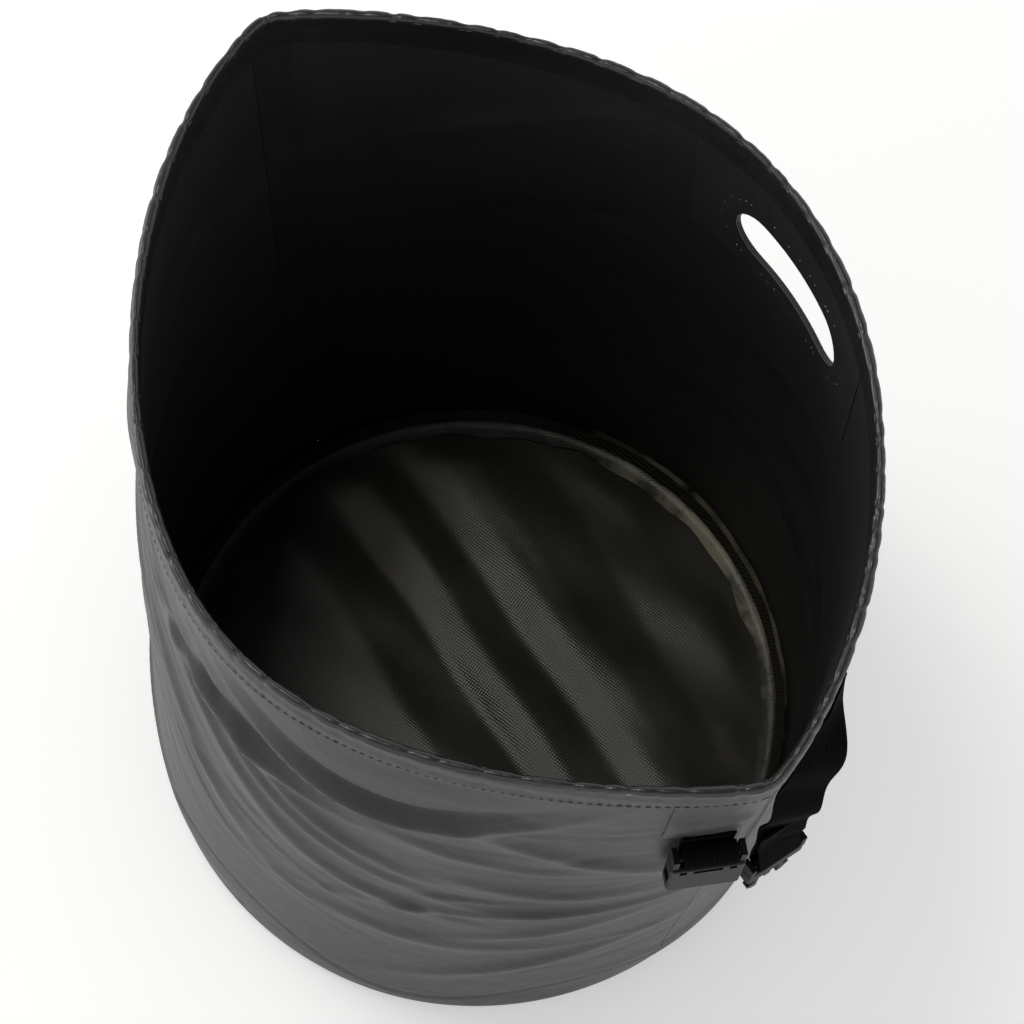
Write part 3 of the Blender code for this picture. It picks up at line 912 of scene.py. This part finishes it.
def webbing(name, path, across, thickness=0.0016, width=0.025):
    """Flat webbing with rounded edges and a rib along each side, on a path with its width's direction."""
    half = width / 2
    profile = []
    for i in range(7):
        profile.append((-half + width * i / 6, 0.5))
    profile += [(half + 0.0003, 0.0)]
    for i in range(7):
        profile.append((half - width * i / 6, -0.5))
    profile += [(-half - 0.0003, 0.0)]
    points, uv = [], []
    run = 0.0
    for i, point in enumerate(path):
        before, after = path[max(i - 1, 0)], path[min(i + 1, len(path) - 1)]
        tangent = (after - before).normalized()
        wide = (across[i] - tangent * across[i].dot(tangent)).normalized()
        thick = tangent.cross(wide).normalized()
        if i:
            run += (point - path[i - 1]).length
        for w, t in profile:
            edge = 0.78 if abs(w) > half - 0.0001 else 1.0
            points.append(tuple(point + wide * w + thick * t * thickness * edge))
            uv.append((w, run))
    columns = len(profile)
    faces = grid_faces(len(path), columns, False, True)
    faces.append(tuple(range(columns)))
    faces.append(tuple(len(points) - 1 - i for i in range(columns)))
    made = add_mesh(name, points, faces, STRAP_WEAVE, 50)
    add_uv(made, uv)
    return made


def finer(path, across, steps):
    """More points on a path, on smooth curves through its own."""
    fine_path, fine_across = [], []
    last = len(path) - 1
    for i in range(last):
        a, b = path[max(i - 1, 0)], path[i]
        c, d = path[i + 1], path[min(i + 2, last)]
        for k in range(steps):
            t = k / steps
            fine_path.append(0.5 * (2 * b + (c - a) * t + (2 * a - 5 * b + 4 * c - d) * t ** 2
                                    + (3 * b - a - 3 * c + d) * t ** 3))
            fine_across.append(across[i].lerp(across[i + 1], t).normalized())
    return fine_path + [path[-1]], fine_across + [across[-1]]


LOOP_RADIUS = 0.0060
STRAP_END_RADIUS = 0.0042
COVERS = {"loop": (-0.0175, 0.044), "strap": (0.068, 0.034)}  # place along the wall and width
COVER_CROWN = 0.407  # the rounded top edge of a cover
STRAP_SETTLE = 0.100
STRAP_BOW = 0.0035
STRAP_TURNED = 0.045
STRAP_TWIST = 0.36


def make_loop(side_name):
    joint = JOINTS[f"{side_name}_female_swing"]
    centre = Vector(joint["pos_m"])
    axis = Vector(joint["axis"]).normalized()
    outward = Vector((-axis.y, axis.x, 0))
    lean = (Vector((0, 0, 1)) + Vector((outward.x, outward.y, 0)) * 0.066).normalized()
    out = outward - lean * outward.dot(lean)
    out.normalize()
    low_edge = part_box(f"{side_name}_loop_patch")[0].z
    top = low_edge - 0.0002 - centre.z
    path = [centre - out * LOOP_RADIUS + lean * (top * share) for share in (1.0, 0.55)]
    for i in range(25):
        turn = math.pi + math.radians(305) * i / 24
        path.append(centre + (out * math.cos(turn) + lean * math.sin(turn)) * LOOP_RADIUS)
    path, across = finer(path, [axis] * len(path), 2)
    made = webbing(f"{side_name}_webbing", path, across, thickness=0.0018)
    return dress(made, "bag", "webbing", f"{side_name}_webbing_loop")


def make_strap(side_name):
    hinge = JOINTS[f"{side_name}_strap_swing"]
    swing = JOINTS[f"{side_name}_male_swing"]
    start, bar = Vector(hinge["pos_m"]), Vector(swing["pos_m"])
    wide = Vector(swing["axis"]).normalized()
    back = UP.cross(wide).normalized()
    first = Vector(hinge["axis"]).normalized()
    if first.dot(wide) < 0:
        first = -first
    run = bar - back * STRAP_END_RADIUS
    out = Vector((first.y, -first.x, 0)).normalized()
    if out.dot(Vector((start.x, start.y, 0))) < 0:
        out = -out
    path, across = [], []
    steps = 30
    for i in range(steps + 1):
        drop = (start.z - bar.z) * i / steps
        ease = float(smooth(0, STRAP_SETTLE, drop))
        spot = start.lerp(run, ease)
        free = float(smooth(0.02, 0.05, drop) * smooth(start.z - bar.z, start.z - bar.z - 0.03, drop))
        ripple = 0.0014 * math.sin(i * 0.75 + 0.4) * free
        bow = STRAP_BOW * math.sin(math.pi * min(drop / (start.z - bar.z), 1) ** 0.7) * free
        path.append(Vector((spot.x, spot.y, start.z - drop)) + back * (ripple + 0.0012 * free) + out * bow)
        turned = float(smooth(0, STRAP_TURNED, drop))
        across.append((first.lerp(wide, turned) - back * STRAP_TWIST * free).normalized())
    for i in range(1, 13):
        turn = math.pi * (1 + i / 12)
        path.append(bar + (back * math.cos(turn) + UP * math.sin(turn)) * STRAP_END_RADIUS)
    lean = 2 * STRAP_END_RADIUS - 0.0016 - 0.0008
    for share in (0.15, 0.35, 0.6, 1.0):
        inward = min(share / 0.6, 1) * lean
        path.append(bar + back * (STRAP_END_RADIUS - inward) + UP * (0.038 * share))
    across += [wide] * (len(path) - len(across))
    path, across = finer(path, across, 3)
    made = webbing(f"{side_name}_free_webbing", path, across)
    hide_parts(f"{side_name}_strap")
    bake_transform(made)
    return made


def make_corner(side_name, side):
    """The patches over the webbing's sewn ends, the loop and the strap."""
    for kind in COVERS:
        low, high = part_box(f"{side_name}_{kind}_patch")
        place, width = COVERS[kind]
        middle = place if side > 0 else GIRTH / 2 - place
        cover = make_patch(
            f"{side_name}_{kind}_cover", GIRTH + middle - width / 2, GIRTH + middle + width / 2,
            low.z, high.z, -GAP - 0.0022, -0.0001, WALL_CLOTH,
            f"{side_name}_{kind}_patch", "wall_fabric", edge=0.010, crown=COVER_CROWN,
        )
    make_loop(side_name)
    make_strap(side_name)


# Carried-over nodes


def finish_node(name, material, bevel):
    node = frame["nodes"][name]
    node.data.materials.clear()
    node.data.materials.append(material)
    if bevel:
        change = node.modifiers.new("edges", "BEVEL")
        change.width = bevel
        change.segments = 2
        change.limit_method = "ANGLE"
        change.angle_limit = math.radians(40)
        change.harden_normals = False


def finish_nodes():
    for side_name in ("right", "left"):
        for part, bevel in (("buckle_female", 0.00035), ("buckle_male", 0.00035),
                            ("prong_front", 0.0003), ("prong_back", 0.0003)):
            finish_node(f"{side_name}_{part}", MOULDED, bevel)
    strip = strip_plastic()
    for name in ("front_stiffener", "back_stiffener"):
        finish_node(name, strip, 0)


# Stage and camera

AZIMUTH, ELEVATION, ROLL = math.radians(52.9), math.radians(67.3), math.radians(6.2)
DISTANCE = 8.81 * BASE_RADIUS
AIM_RIGHT, AIM_UP = 0.117 * BASE_RADIUS, 0.592 * BASE_RADIUS
LENS = 97.9


def make_camera():
    back = Vector((
        math.sin(AZIMUTH) * math.cos(ELEVATION), -math.cos(AZIMUTH) * math.cos(ELEVATION), math.sin(ELEVATION)
    ))
    right = Vector((math.cos(AZIMUTH), math.sin(AZIMUTH), 0))
    up = back.cross(right)
    rolled_right = right * math.cos(ROLL) + up * math.sin(ROLL)
    rolled_up = up * math.cos(ROLL) - right * math.sin(ROLL)
    place = rolled_right * AIM_RIGHT + rolled_up * AIM_UP + back * DISTANCE
    data = bpy.data.cameras.new("camera")
    data.lens = LENS
    data.sensor_width = 36
    made = bpy.data.objects.new("camera", data)
    made.matrix_world = Matrix((
        (rolled_right.x, rolled_up.x, back.x, place.x),
        (rolled_right.y, rolled_up.y, back.y, place.y),
        (rolled_right.z, rolled_up.z, back.z, place.z),
        (0, 0, 0, 1),
    ))
    bpy.context.scene.collection.objects.link(made)
    bpy.context.scene.camera = made


def area_light(name, place, target, size, power, colour=(1, 1, 1)):
    data = bpy.data.lights.new(name, "AREA")
    data.shape = "DISK"
    data.size = size
    data.energy = power
    data.color = colour
    made = bpy.data.objects.new(name, data)
    made.location = place
    made.rotation_euler = (Vector(target) - Vector(place)).to_track_quat("-Z", "Y").to_euler()
    bpy.context.scene.collection.objects.link(made)


def make_world():
    """Soft studio: white all round, dimmer overhead."""
    world = bpy.data.worlds.new("studio")
    world.use_nodes = True
    tree = world.node_tree
    place = tree.nodes.new("ShaderNodeTexCoord")
    split = tree.nodes.new("ShaderNodeSeparateXYZ")
    ramp = tree.nodes.new("ShaderNodeValToRGB")
    ramp.color_ramp.elements.new(0.5)
    for element, (height, tone) in zip(ramp.color_ramp.elements, ((0.05, 1.0), (0.62, 0.85), (0.86, 0.10))):
        element.position = height
        element.color = (tone, tone, tone, 1)
    tree.links.new(place.outputs["Generated"], split.inputs[0])
    tree.links.new(split.outputs["Z"], ramp.inputs["Fac"])
    tree.links.new(ramp.outputs["Color"], tree.nodes["Background"].inputs["Color"])
    tree.nodes["Background"].inputs["Strength"].default_value = 1.1
    bpy.context.scene.world = world


def make_stage():
    floor = add_mesh("studio_floor", [(-4, -4, 0), (4, -4, 0), (4, 4, 0), (-4, 4, 0)], [(0, 1, 2, 3)],
                     studio_floor(), None)
    make_world()
    area_light("key", (-0.55, -0.35, 2.5), (0, 0, 0.1), 0.6, 11.5, (1.0, 0.965, 0.89))
    area_light("fill", (-2.2, -1.8, 1.1), (0, 0, 0.2), 2.0, 32)
    bpy.context.scene.view_settings.view_transform = "Standard"


def main():
    make_camera()
    half = GIRTH / 2
    made = [make_wall("front_wall", half + 0.0002, GIRTH - 0.0002, "front_panel")]
    back_wall = make_wall("back_wall", 0.0002, half - 0.0002, "back_panel")
    made += [back_wall, make_hem(), make_floor(), make_floor_tape()]
    places = np.arange(0, GIRTH, 0.0042)
    make_stitches("hem_stitches", places, HEIGHT - 0.0190, -HEM_PROUD - 0.0001, 0.0032, 0.00028)
    made.append(make_side_tape("right_tape", GIRTH, "right_seam_tape"))
    made.append(make_side_tape("left_tape", half, "left_seam_tape"))
    make_hand_hole(back_wall)
    make_weld_dots()
    for side_name, side in (("right", 1), ("left", -1)):
        make_corner(side_name, side)
    finish_nodes()
    make_stage()


main()
